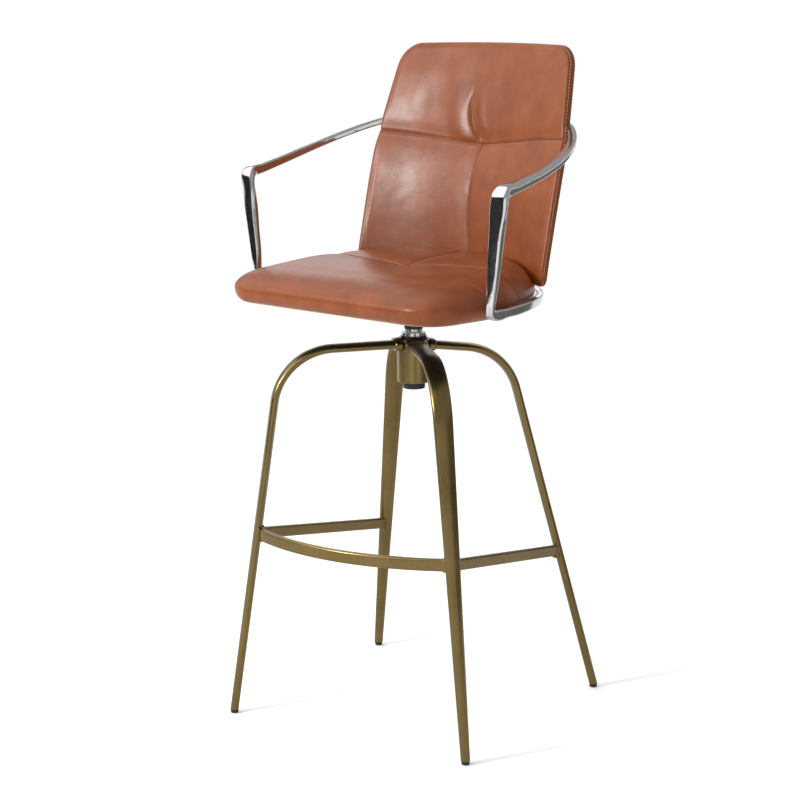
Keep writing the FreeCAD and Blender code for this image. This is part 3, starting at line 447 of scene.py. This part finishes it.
def closed_pad(name, layers, material):
    """One closed mesh from grids of equal size, first and last filled, all joined round their rims."""
    rows, columns = layers[0][0].shape
    rim = rim_indices(rows, columns)
    points, faces, rims = [], [], []
    for index, (x, y, z) in enumerate(layers):
        stacked = np.stack([x, y, z], axis=-1).reshape(-1, 3) * MM
        start = len(points)
        if index in (0, len(layers) - 1):
            points.extend(stacked.tolist())
            faces += grid_faces(rows, columns, start, flip=(index != 0))
            rims.append([start + i for i in rim])
        else:
            points.extend(stacked[rim].tolist())
            rims.append(list(range(start, start + len(rim))))
    for first, second in zip(rims, rims[1:]):
        faces += joined_rims(first, second)
    return mesh_object(name, points, faces, material)


CLOTH_PRESSURE = 4.0
CLOTH_FRAMES = 20
CLOTH_STRETCH = 30.0                # stiffness against stretch and against crush
CLOTH_BEND = 12.0
EVENING_ROUNDS = 16                 # smoothing rounds over the cloth's movements


def swelled(grid, held, cap):
    """Blows a coarse pad up with cloth and returns how far each grid point moved, in mm, up to cap."""
    x, y, z = grid
    rows, columns = x.shape
    points = np.stack([x, y, z], axis=-1).reshape(-1, 3) * MM
    trial = mesh_object("trial_pad", points, grid_faces(rows, columns), LOOKS["leather_seat"])
    group = trial.vertex_groups.new(name="held")
    for index, weight in enumerate(held.ravel()):
        if weight > 0.0:
            group.add([index], float(weight), "REPLACE")
    cloth = trial.modifiers.new("cloth", "CLOTH")
    cloth.settings.use_pressure = True
    cloth.settings.uniform_pressure_force = CLOTH_PRESSURE
    cloth.settings.effector_weights.gravity = 0.0
    cloth.settings.quality = 6
    cloth.settings.tension_stiffness = CLOTH_STRETCH
    cloth.settings.compression_stiffness = CLOTH_STRETCH
    cloth.settings.bending_stiffness = CLOTH_BEND
    cloth.settings.vertex_group_mass = "held"
    cloth.settings.pin_stiffness = 1.0
    cloth.point_cache.frame_start = 1
    cloth.point_cache.frame_end = CLOTH_FRAMES
    for step in range(1, CLOTH_FRAMES + 1):
        bpy.context.scene.frame_set(step)
    graph = bpy.context.evaluated_depsgraph_get()
    shape = trial.evaluated_get(graph).to_mesh()
    moved = np.zeros(len(shape.vertices) * 3)
    shape.vertices.foreach_get("co", moved)
    bpy.context.scene.frame_set(1)
    drift = (moved.reshape(-1, 3) - points) / MM
    bpy.data.objects.remove(trial)
    length = np.linalg.norm(drift, axis=1, keepdims=True)
    drift = drift * np.minimum(1.0, cap / np.maximum(length, 1e-9))
    return evened(drift.reshape(rows, columns, 3)) * (1.0 - held)[..., None]


def evened(drift):
    """Smooths the small wrinkles out of the movements, since firm leather over foam shows none."""
    for _ in range(EVENING_ROUNDS):
        padded = np.pad(drift, ((1, 1), (0, 0), (0, 0)), mode="edge")
        drift = (padded[:-2] + 2.0 * padded[1:-1] + padded[2:]) / 4.0
        padded = np.pad(drift, ((0, 0), (1, 1), (0, 0)), mode="edge")
        drift = (padded[:, :-2] + 2.0 * padded[:, 1:-1] + padded[:, 2:]) / 4.0
    return drift


def spread(coarse, rows, columns):
    """Carries a coarse grid of movements to a finer grid of the same pad."""
    have_rows, have_columns = coarse.shape[:2]
    at_row = np.linspace(0.0, have_rows - 1.0, rows)
    at_column = np.linspace(0.0, have_columns - 1.0, columns)
    r0 = np.minimum(at_row.astype(int), have_rows - 2)
    c0 = np.minimum(at_column.astype(int), have_columns - 2)
    fr = (at_row - r0)[:, None, None]
    fc = (at_column - c0)[None, :, None]
    low = coarse[r0][:, c0] * (1 - fc) + coarse[r0][:, c0 + 1] * fc
    high = coarse[r0 + 1][:, c0] * (1 - fc) + coarse[r0 + 1][:, c0 + 1] * fc
    return low * (1 - fr) + high * fr


BACK_EDGE_STEPS = (                 # inset from the outline and depth behind the front's rim, mm
    (4.6, 0.35), (3.0, 1.0), (1.6, 2.0), (0.6, 3.5), (0.0, 5.4),
    (0.1, 7.4), (0.7, 8.2), (1.4, 8.8), (0.7, 9.4), (0.1, 10.1))
REAR_EDGE_STEPS = (                 # inset and depth in front of the rear face
    (0.0, 3.2), (0.5, 2.6), (2.0, 2.1), (0.7, 1.5), (0.9, 0.9), (2.2, 0.2), (4.5, 0.0))
BACK_RIM_INSET = 7.0                # where the front's and the rear's faces end
REAR_BULGE = 1.4
SEAM_HOLD = 4.5                     # how far from a seam the leather is held down
BACK_SWELL = 5.0                    # most that the cloth may move
BACK_COARSE = (71, 65)              # columns and rows of the cloth and of the finished surface
BACK_FINE = (289, 261)


def build_back():
    coarse_columns, coarse_rows = BACK_COARSE
    fine_columns, fine_rows = BACK_FINE
    x, z = back_grid(coarse_columns, coarse_rows, BACK_RIM_INSET)
    y = back_front_y(x, z)
    cross = line_distance(x, z, BACK_CROSS_SEAM)
    upright = line_distance(x, z, BACK_MID_SEAM)
    held = np.zeros(x.shape)
    held[(cross < SEAM_HOLD) | (upright < SEAM_HOLD)] = 1.0
    held[[0, -1], :] = 1.0
    held[:, [0, -1]] = 1.0
    drift = swelled((x, y, z), held, BACK_SWELL)
    x, z = back_grid(fine_columns, fine_rows, BACK_RIM_INSET)
    y = back_front_y(x, z)
    moved = spread(drift, fine_rows, fine_columns)
    ripple = soft_noise(x, z, 52.0, 3.0) * 0.7 + soft_noise(x, z, 19.0, 8.0) * 0.12
    ripple = ripple * rim_fade(fine_columns, fine_rows, 22)
    layers = [(x + moved[..., 0], y + moved[..., 1] + ripple, z + moved[..., 2])]
    for inset, depth in BACK_EDGE_STEPS:
        gx, gz = back_grid(fine_columns, fine_rows, inset)
        layers.append((gx, back_front_y(gx, gz) + depth, gz))
    for inset, depth in REAR_EDGE_STEPS:
        gx, gz = back_grid(fine_columns, fine_rows, inset)
        layers.append((gx, back_surface_y(gx, gz, 1.0) - depth, gz))
    gx, gz = back_grid(fine_columns, fine_rows, BACK_RIM_INSET)
    bulge = REAR_BULGE * rim_fade(fine_columns, fine_rows, 60)
    uneven = soft_noise(gx, gz, 60.0, 21.0) * 0.3 * bulge
    layers.append((gx, back_surface_y(gx, gz, 1.0) + bulge - 0.2 + uneven, gz))
    return closed_pad("back_leather", layers, LOOKS["leather_back"])


def rim_fade(columns, rows, reach):
    """0 at a grid's rim, rising to 1 a number of cells in."""
    row = np.arange(rows)[:, None] * np.ones((1, columns))
    column = np.ones((rows, 1)) * np.arange(columns)[None, :]
    cells = np.minimum(np.minimum(row, rows - 1 - row), np.minimum(column, columns - 1 - column))
    return smoothstep(cells, 0.0, float(reach))


STITCH_GAP = 5.2                    # from stitch to stitch, mm
STITCH_LENGTH = 4.3
STITCH_RADIUS = 0.8
STITCH_DEPTH = 6.4                  # behind the front's rim
SEAM_REACH = 203.0                  # half length of the cross seam's crease
BACK_SEAM_TUBE = (0.55, 0.12)       # radius of the dark tube of painted shadow in a seam's crease and how far its middle lies under the surface
SEAT_SEAM_TUBE = (0.5, 0.1)


def outline_points(inset):
    """The back's outline up one side, over the top and down the other, as (x, z)."""
    columns, rows = 121, 181
    x, z = back_grid(columns, rows, inset)
    right = [(x[r, -1], z[r, -1]) for r in range(rows)]
    top = [(x[-1, c], z[-1, c]) for c in range(columns - 2, 0, -1)]
    left = [(x[r, 0], z[r, 0]) for r in range(rows - 1, -1, -1)]
    return [spot for spot in right + top + left if spot[1] > BACK_BOTTOM + 12.0]


def even_steps(points, gap):
    """Points at an even spacing along a polyline."""
    placed, carried = [], 0.0
    for a, b in zip(points, points[1:]):
        length = math.dist(a, b)
        while carried <= length and length > 0.0:
            share = carried / length
            placed.append(tuple(p + (q - p) * share for p, q in zip(a, b)))
            carried += gap
        carried -= length
    return placed


def stitch_row(name, path, normals_at, slant):
    """One mesh of small rounded threads along a path of 3-D points in mm."""
    points, faces = [], []
    sides, rings = 6, ((-0.5, 0.35), (-0.36, 0.9), (0.0, 1.0), (0.36, 0.9), (0.5, 0.35))
    for index in range(1, len(path) - 1):
        here = Vector(path[index])
        along = (Vector(path[index + 1]) - Vector(path[index - 1])).normalized()
        out = normals_at(path[index]).normalized()
        across = along.cross(out).normalized()
        out = across.cross(along)
        along = (along + across * slant).normalized()
        across = along.cross(out).normalized()
        start = len(points)
        for share, size in rings:
            sink = 0.25 * (abs(share) * 2.0) ** 2
            middle = here + along * (share * STITCH_LENGTH) - out * sink
            for side in range(sides):
                angle = 2.0 * math.pi * side / sides
                spoke = across * math.cos(angle) + out * math.sin(angle)
                points.append((middle + spoke * (STITCH_RADIUS * size)) * MM)
        for ring_index in range(len(rings) - 1):
            for side in range(sides):
                a = start + ring_index * sides + side
                b = start + ring_index * sides + (side + 1) % sides
                faces.append((a, b, b + sides, a + sides))
        faces.append(tuple(start + side for side in range(sides))[::-1])
        faces.append(tuple(start + (len(rings) - 1) * sides + side for side in range(sides)))
    return mesh_object(name, points, faces, THREAD)


def side_outward(spot):
    """Outward direction of the back's side at a point, in the plane of the outline."""
    x, _, z = spot
    half = float(back_half(np.array([z]), 0.0)[0])
    above = max(z - (BACK_TOP - BACK_TOP_CORNER), 0.0) / BACK_TOP_CORNER
    side = np.clip((abs(x) - (half - 30.0)) / 30.0, 0.0, 1.0)
    return Vector((math.copysign(side, x), 0.0, above + 0.02))


def build_seams_back():
    """Thin dark tubes along the seams, painted shadow in their creases, laid just under the leather's
    surface, and the edge stitches.
    """
    made = []
    radius, sink = BACK_SEAM_TUBE
    for name, line in (("back_cross_seam_shadow", BACK_CROSS_SEAM), ("back_mid_seam_shadow", BACK_MID_SEAM)):
        spots = np.array(line)
        keep = (np.abs(spots[:, 0]) < SEAM_REACH) & (spots[:, 1] > BACK_BOTTOM + 6.0)
        spots = spots[keep]
        y = back_front_y(spots[:, 0], spots[:, 1])
        points = [Vector(spot) * MM for spot in zip(spots[:, 0], y + sink, spots[:, 1])]
        # dark leather tube: painted shadow in the seam's crease
        made.append(tube(name, points, radius * MM, SEAM_SHADOW))
    path = []
    for x, z in even_steps(outline_points(0.05), STITCH_GAP):
        y = float(back_front_y(np.array([x]), np.array([z]))[0]) + STITCH_DEPTH
        path.append((x, y, z))
    made.append(stitch_row("back_edge_stitches", path, side_outward, 0.25))
    return made


def tube(name, points, radius, material):
    curve = bpy.data.curves.new(name, "CURVE")
    curve.dimensions = "3D"
    curve.bevel_depth = radius
    curve.bevel_resolution = 2
    spline = curve.splines.new("POLY")
    spline.points.add(len(points) - 1)
    for spot, point in zip(spline.points, points):
        spot.co = (*point, 1.0)
    made = bpy.data.objects.new(name, curve)
    bpy.context.scene.collection.objects.link(made)
    curve.materials.append(material)
    return made


# ---------------------------------------------------------------- seat
SEAT_CROSS_SEAM = smooth_line([(-236, 16), (-175, 2), (-108, -13), (-50, -18), (0, -19), (60, -4), (110, 8),
                               (152, 12), (190, 3), (240, -9)])
SEAT_MID_SEAM = smooth_line([(0, -19), (1, 30), (0, 80), (0, 140)])


def seat_half(y, inset):
    """Half width of the seat's outline at a depth."""
    y = np.asarray(y, float)
    angles = np.radians(np.linspace(0.0, 90.0, 181))
    rail_x = RAIL_CORNER[0] * np.cos(angles) ** (2.0 / RAIL_POWERS[0])
    rail_y = RAIL_CORNER[1] + (RAIL_REAR - RAIL_CORNER[1]) * np.sin(angles) ** (2.0 / RAIL_POWERS[1])
    dx, dy = np.gradient(rail_x), np.gradient(rail_y)
    length = np.hypot(dx, dy)
    pad_x = rail_x - dy / length * (RAIL_GAP + inset)
    pad_y = rail_y + dx / length * (RAIL_GAP + inset)
    order = np.argsort(pad_y)
    half = np.interp(y, pad_y[order], pad_x[order])
    half = np.minimum(half, SEAT_HALF - inset)
    front, corner = SEAT_FRONT + inset, SEAT_FRONT_CORNER - inset
    over = np.clip((front + corner - y) / corner, 0.0, 1.0)
    return half - corner * (1.0 - np.sqrt(np.clip(1.0 - over ** 2, 0.0, 1.0)))


def seat_grid(columns, rows, inset):
    front, rear = SEAT_FRONT + inset, SEAT_REAR - inset
    share = np.linspace(0.0, 1.0, rows)
    corner = (SEAT_FRONT_CORNER - inset) / (rear - front)
    under = share < corner
    share[under] = corner - corner * np.sin((corner - share[under]) / corner * math.pi / 2.0)
    late = share > 0.86
    share[late] = 0.86 + 0.14 * np.sin((share[late] - 0.86) / 0.14 * math.pi / 2.0)
    y_rows = front + (rear - front) * share
    half = np.maximum(seat_half(y_rows, inset), 60.0)
    s = np.linspace(-1.0, 1.0, columns)
    x = half[:, None] * s[None, :]
    y = np.repeat(y_rows[:, None], columns, axis=1)
    return x, y


CROWN_FRONT = 738.5                 # height of the top's front, its rise to the rear and fall to the sides
CROWN_RISE = 22.5
CROWN_FALL = 5.0
SEAT_CROSS_HOLLOW = (2.0, 15.0)
SEAT_MID_HOLLOW = (1.5, 15.0)
SEAT_SEAM_PINCH = (1.7, 2.2)
SEAT_TUFT_HOLLOW = (2.8, 38.0)
SEAT_TUFT_PINCH = (1.4, 13.0)
SIDE_CREASE = (1.8, 3.6)
SIDE_CREASE_X = 226.0               # where the small crease at each side is deepest
SIDE_CREASE_Y = -88.0
SIDE_CREASE_REACH = 24.0
SIDE_CREASE_SLANT = 0.25


def seat_crown(x, y):
    """Height of the seat's top, before its edges are rounded."""
    share = np.clip((y - SEAT_FRONT) / (SEAT_REAR - SEAT_FRONT), 0.0, 1.0)
    return CROWN_FRONT + CROWN_RISE * (1.0 - (1.0 - share) ** 2.0) - CROWN_FALL * (x / SEAT_HALF) ** 2


def seat_top(x, y):
    z = seat_crown(x, y)
    cross = line_distance(x, y, SEAT_CROSS_SEAM)
    middle = line_distance(x, y, SEAT_MID_SEAM)
    tuft = np.hypot(x - SEAT_TUFT[0], y - SEAT_TUFT[1])
    z = z - dip(cross, SEAT_CROSS_HOLLOW) - dip(cross, SEAT_SEAM_PINCH)
    z = z - dip(middle, SEAT_MID_HOLLOW) - dip(middle, SEAT_SEAM_PINCH)
    z = z - dip(tuft, SEAT_TUFT_HOLLOW) - dip(tuft, SEAT_TUFT_PINCH)
    for side in (-1.0, 1.0):
        beyond = x * side - SIDE_CREASE_X
        gap = y - SIDE_CREASE_Y - SIDE_CREASE_SLANT * beyond
        z = z - dip(gap, SIDE_CREASE) * bell(beyond, SIDE_CREASE_REACH)
    return z


SEAT_SEAM_HOLD = 4.0
SEAT_SWELL = 4.0
SEAT_HELD_FROM = 120.0              # behind this y the seat is under the back and stays put
SEAT_COARSE = (81, 66)
SEAT_FINE = (297, 241)
SEAT_UNDER_INSET = 40.0             # inset of the grid that closes the underside
SEAT_LIFT = 0.3                     # gap between the leather and the board under it
EDGE_ROUND = 60.0                   # how far in from the outline the top starts to turn down
NOSE_HEIGHT = 713.0                 # where the side stands upright
UNDER_ROUND = 15.0                  # how far in the side has curled by the underside
TOP_STEPS = 13
UNDER_STEPS = 7


def seat_layer(columns, rows, inset):
    """One grid of the top, turned down towards the outline like a quarter of an ellipse."""
    x, y = seat_grid(columns, rows, inset)
    z = seat_top(x, y)
    rim_x, rim_y = seat_grid(columns, rows, 0.0)
    full_drop = seat_crown(rim_x, rim_y) - NOSE_HEIGHT
    share = 1.0 - inset / EDGE_ROUND
    return x, y, z - full_drop * (1.0 - math.sqrt(max(1.0 - share * share, 0.0)))


SEAT_REACHES_BACK = 745.0           # height at which the top meets the back's front
SINK_DEPTH = 2.5                    # how far below the back's bottom edge the top sinks behind that


def behind_back(x, y, z):
    """Lets the top sink in a soft step where the back stands on it."""
    contact = back_surface_y(x, np.full(x.shape, SEAT_REACHES_BACK), 0.0)
    reach = smoothstep(y - contact, -9.0, 3.5)
    return z - (z - (BACK_BOTTOM - SINK_DEPTH)) * reach ** 1.6


def build_seat():
    coarse_columns, coarse_rows = SEAT_COARSE
    fine_columns, fine_rows = SEAT_FINE
    x, y, z = seat_layer(coarse_columns, coarse_rows, EDGE_ROUND)
    cross = line_distance(x, y, SEAT_CROSS_SEAM)
    middle = line_distance(x, y, SEAT_MID_SEAM)
    held = np.zeros(x.shape)
    held[(cross < SEAT_SEAM_HOLD) | (middle < SEAT_SEAM_HOLD)] = 1.0
    held[[0, -1], :] = 1.0
    held[:, [0, -1]] = 1.0
    held[y > SEAT_HELD_FROM] = 1.0
    drift = swelled((x, y, z), held, SEAT_SWELL)
    x, y, z = seat_layer(fine_columns, fine_rows, EDGE_ROUND)
    fade = rim_fade(fine_columns, fine_rows, 26)
    moved = spread(drift, fine_rows, fine_columns) * fade[..., None]
    ripple = (soft_noise(x, y, 60.0, 1.0) * 0.6 + soft_noise(x, y, 21.0, 5.0) * 0.10) * fade
    x, y, z = x + moved[..., 0], y + moved[..., 1], z + moved[..., 2] + ripple
    layers = [(x, y, behind_back(x, y, z))]
    for step in range(1, TOP_STEPS + 1):
        angle = math.pi / 2.0 * step / TOP_STEPS
        inset = EDGE_ROUND * (1.0 - math.sin(angle))
        gx, gy, gz = seat_layer(fine_columns, fine_rows, inset)
        layers.append((gx, gy, behind_back(gx, gy, gz)))
    for step in range(1, UNDER_STEPS + 1):
        angle = math.pi / 2.0 * step / UNDER_STEPS
        gx, gy = seat_grid(fine_columns, fine_rows, UNDER_ROUND * (1.0 - math.cos(angle)))
        height = NOSE_HEIGHT - (NOSE_HEIGHT - SEAT_BOTTOM - SEAT_LIFT) * math.sin(angle)
        layers.append((gx, gy, np.full(gx.shape, height)))
    gx, gy = seat_grid(fine_columns, fine_rows, SEAT_UNDER_INSET)
    layers.append((gx, gy, np.full(gx.shape, SEAT_BOTTOM + SEAT_LIFT)))
    return closed_pad("seat_leather", layers, LOOKS["leather_seat"])


def build_seams_seat():
    # Thin dark tubes along the seat's seams, painted shadow in their creases.
    made = []
    radius, sink = SEAT_SEAM_TUBE
    for name, line in (("seat_cross_seam_shadow", SEAT_CROSS_SEAM), ("seat_mid_seam_shadow", SEAT_MID_SEAM)):
        spots = np.array(line)
        keep = (np.abs(spots[:, 0]) < SEAT_HALF - EDGE_ROUND) & (spots[:, 1] < SEAT_HELD_FROM + 2.0)
        spots = spots[keep]
        z = seat_top(spots[:, 0], spots[:, 1])
        points = [Vector(spot) * MM for spot in zip(spots[:, 0], spots[:, 1], z - sink)]
        made.append(tube(name, points, radius * MM, SEAM_SHADOW))
    return made


# ---------------------------------------------------------------- assemble
back_pad = build_back()
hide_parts("back_cushion", "back_shell", "back_rear_panel")
seat_pad = build_seat()
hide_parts("seat_cushion")
extras = build_seams_back() + build_seams_seat()
for piece in [back_pad, seat_pad] + extras:
    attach(piece, "seat")


# ---------------------------------------------------------------- stage, light and camera
def plane(name, size, place, material):
    half = size / 2.0
    made = mesh_object(name, [(-half, -half, 0), (half, -half, 0), (half, half, 0), (-half, half, 0)],
                       [(0, 1, 2, 3)], material, smooth=False)
    made.location = place
    return made


def area_light(name, place, aim, width, height, power):
    data = bpy.data.lights.new(name, "AREA")
    data.shape = "RECTANGLE"
    data.size, data.size_y = width, height
    data.energy = power
    light = bpy.data.objects.new(name, data)
    light.location = place
    light.rotation_euler = (Vector(aim) - Vector(place)).to_track_quat("-Z", "Y").to_euler()
    bpy.context.scene.collection.objects.link(light)
    return light


floor_look = Look("pale_floor")
floor_look.set(Base_Color=(0.94, 0.94, 0.94, 1.0), Roughness=0.95, Specular_IOR_Level=0.1,
               Emission_Color=(1.0, 1.0, 1.0, 1.0), Emission_Strength=0.12)
floor = plane("floor", 400.0, (0, 0, -0.0005), floor_look.material)

CARDS = (                           # name, centre, width, height, tilt and turn about +Z in degrees, grey
    ("front_card", (-1.3, -2.05, 0.55), 5.0, 1.06, 90.0, -31.0, 0.03),
    ("rear_card", (1.15, 1.15, 0.42), 3.0, 0.82, 90.0, -45.0, 0.13),
    ("floor_card", (0.0, -0.2, 0.003), 3.4, 3.4, 0.0, 45.0, 0.66),
)
for name, place, width, height, tilt, turn, grey in CARDS:
    card_look = Look(name)
    card_look.set(Base_Color=(grey, grey, grey, 1.0), Roughness=1.0, Specular_IOR_Level=0.0)
    card = plane(name, 1.0, place, card_look.material)
    card.scale = (width, height, 1.0)
    card.rotation_euler = (math.radians(tilt), 0.0, math.radians(turn))
    card.visible_camera = False
    card.visible_shadow = False
    card.visible_diffuse = False

BACKDROP_WHITE = 1.05
ROOM_LIGHT = 0.45
world = bpy.data.worlds.new("studio")
bpy.context.scene.world = world
world.use_nodes = True
world_tree = world.node_tree
seen = world_tree.nodes.new("ShaderNodeLightPath")
level = world_tree.nodes.new("ShaderNodeMapRange")
level.inputs["To Min"].default_value = ROOM_LIGHT
level.inputs["To Max"].default_value = BACKDROP_WHITE
world_tree.links.new(seen.outputs["Is Camera Ray"], level.inputs["Value"])
world_tree.links.new(level.outputs["Result"], world_tree.nodes["Background"].inputs["Strength"])
world_tree.nodes["Background"].inputs["Color"].default_value = (1.0, 1.0, 1.0, 1.0)

SUN_STRENGTH = 2.1
SUN_SPREAD = math.radians(95.0)
SUN_DIRECTION = Vector((0.50, 0.48, -0.85))
sun_data = bpy.data.lights.new("overhead_light", "SUN")
sun_data.energy = SUN_STRENGTH
sun_data.angle = SUN_SPREAD
sun = bpy.data.objects.new("overhead_light", sun_data)
sun.rotation_euler = SUN_DIRECTION.to_track_quat("-Z", "Y").to_euler()
bpy.context.scene.collection.objects.link(sun)
area_light("key_light", (-1.05, -3.0, 1.84), (0, 0, 0.9), 0.42, 0.5, 72.0)
area_light("rear_light", (-2.0, 2.1, 1.75), (0, 0, 0.75), 1.9, 1.2, 9.0)

CAMERA_AZIMUTH = math.radians(43.82)
CAMERA_RISE = math.radians(13.573)
CAMERA_ROLL = math.radians(-0.41)
CAMERA_DISTANCE = 3.420
CAMERA_TARGET = Vector((0.0, 0.0, 0.380))
CAMERA_LENS = 92.15
CAMERA_SHIFT = (-0.0185, 0.1053)
back_axis = Vector((math.sin(CAMERA_AZIMUTH) * math.cos(CAMERA_RISE),
                    -math.cos(CAMERA_AZIMUTH) * math.cos(CAMERA_RISE), math.sin(CAMERA_RISE)))
right_axis = Vector((math.cos(CAMERA_AZIMUTH), math.sin(CAMERA_AZIMUTH), 0.0))
up_axis = back_axis.cross(right_axis)
turned_right = right_axis * math.cos(CAMERA_ROLL) + up_axis * math.sin(CAMERA_ROLL)
turned_up = up_axis * math.cos(CAMERA_ROLL) - right_axis * math.sin(CAMERA_ROLL)
camera_data = bpy.data.cameras.new("camera")
camera_data.sensor_width = 36.0
camera_data.lens = CAMERA_LENS
camera_data.shift_x, camera_data.shift_y = CAMERA_SHIFT
camera = bpy.data.objects.new("camera", camera_data)
pose = Matrix((turned_right, turned_up, back_axis)).transposed().to_4x4()
pose.translation = CAMERA_TARGET + back_axis * CAMERA_DISTANCE
camera.matrix_world = pose
bpy.context.scene.collection.objects.link(camera)
bpy.context.scene.camera = camera
bpy.context.scene.view_settings.view_transform = "Standard"
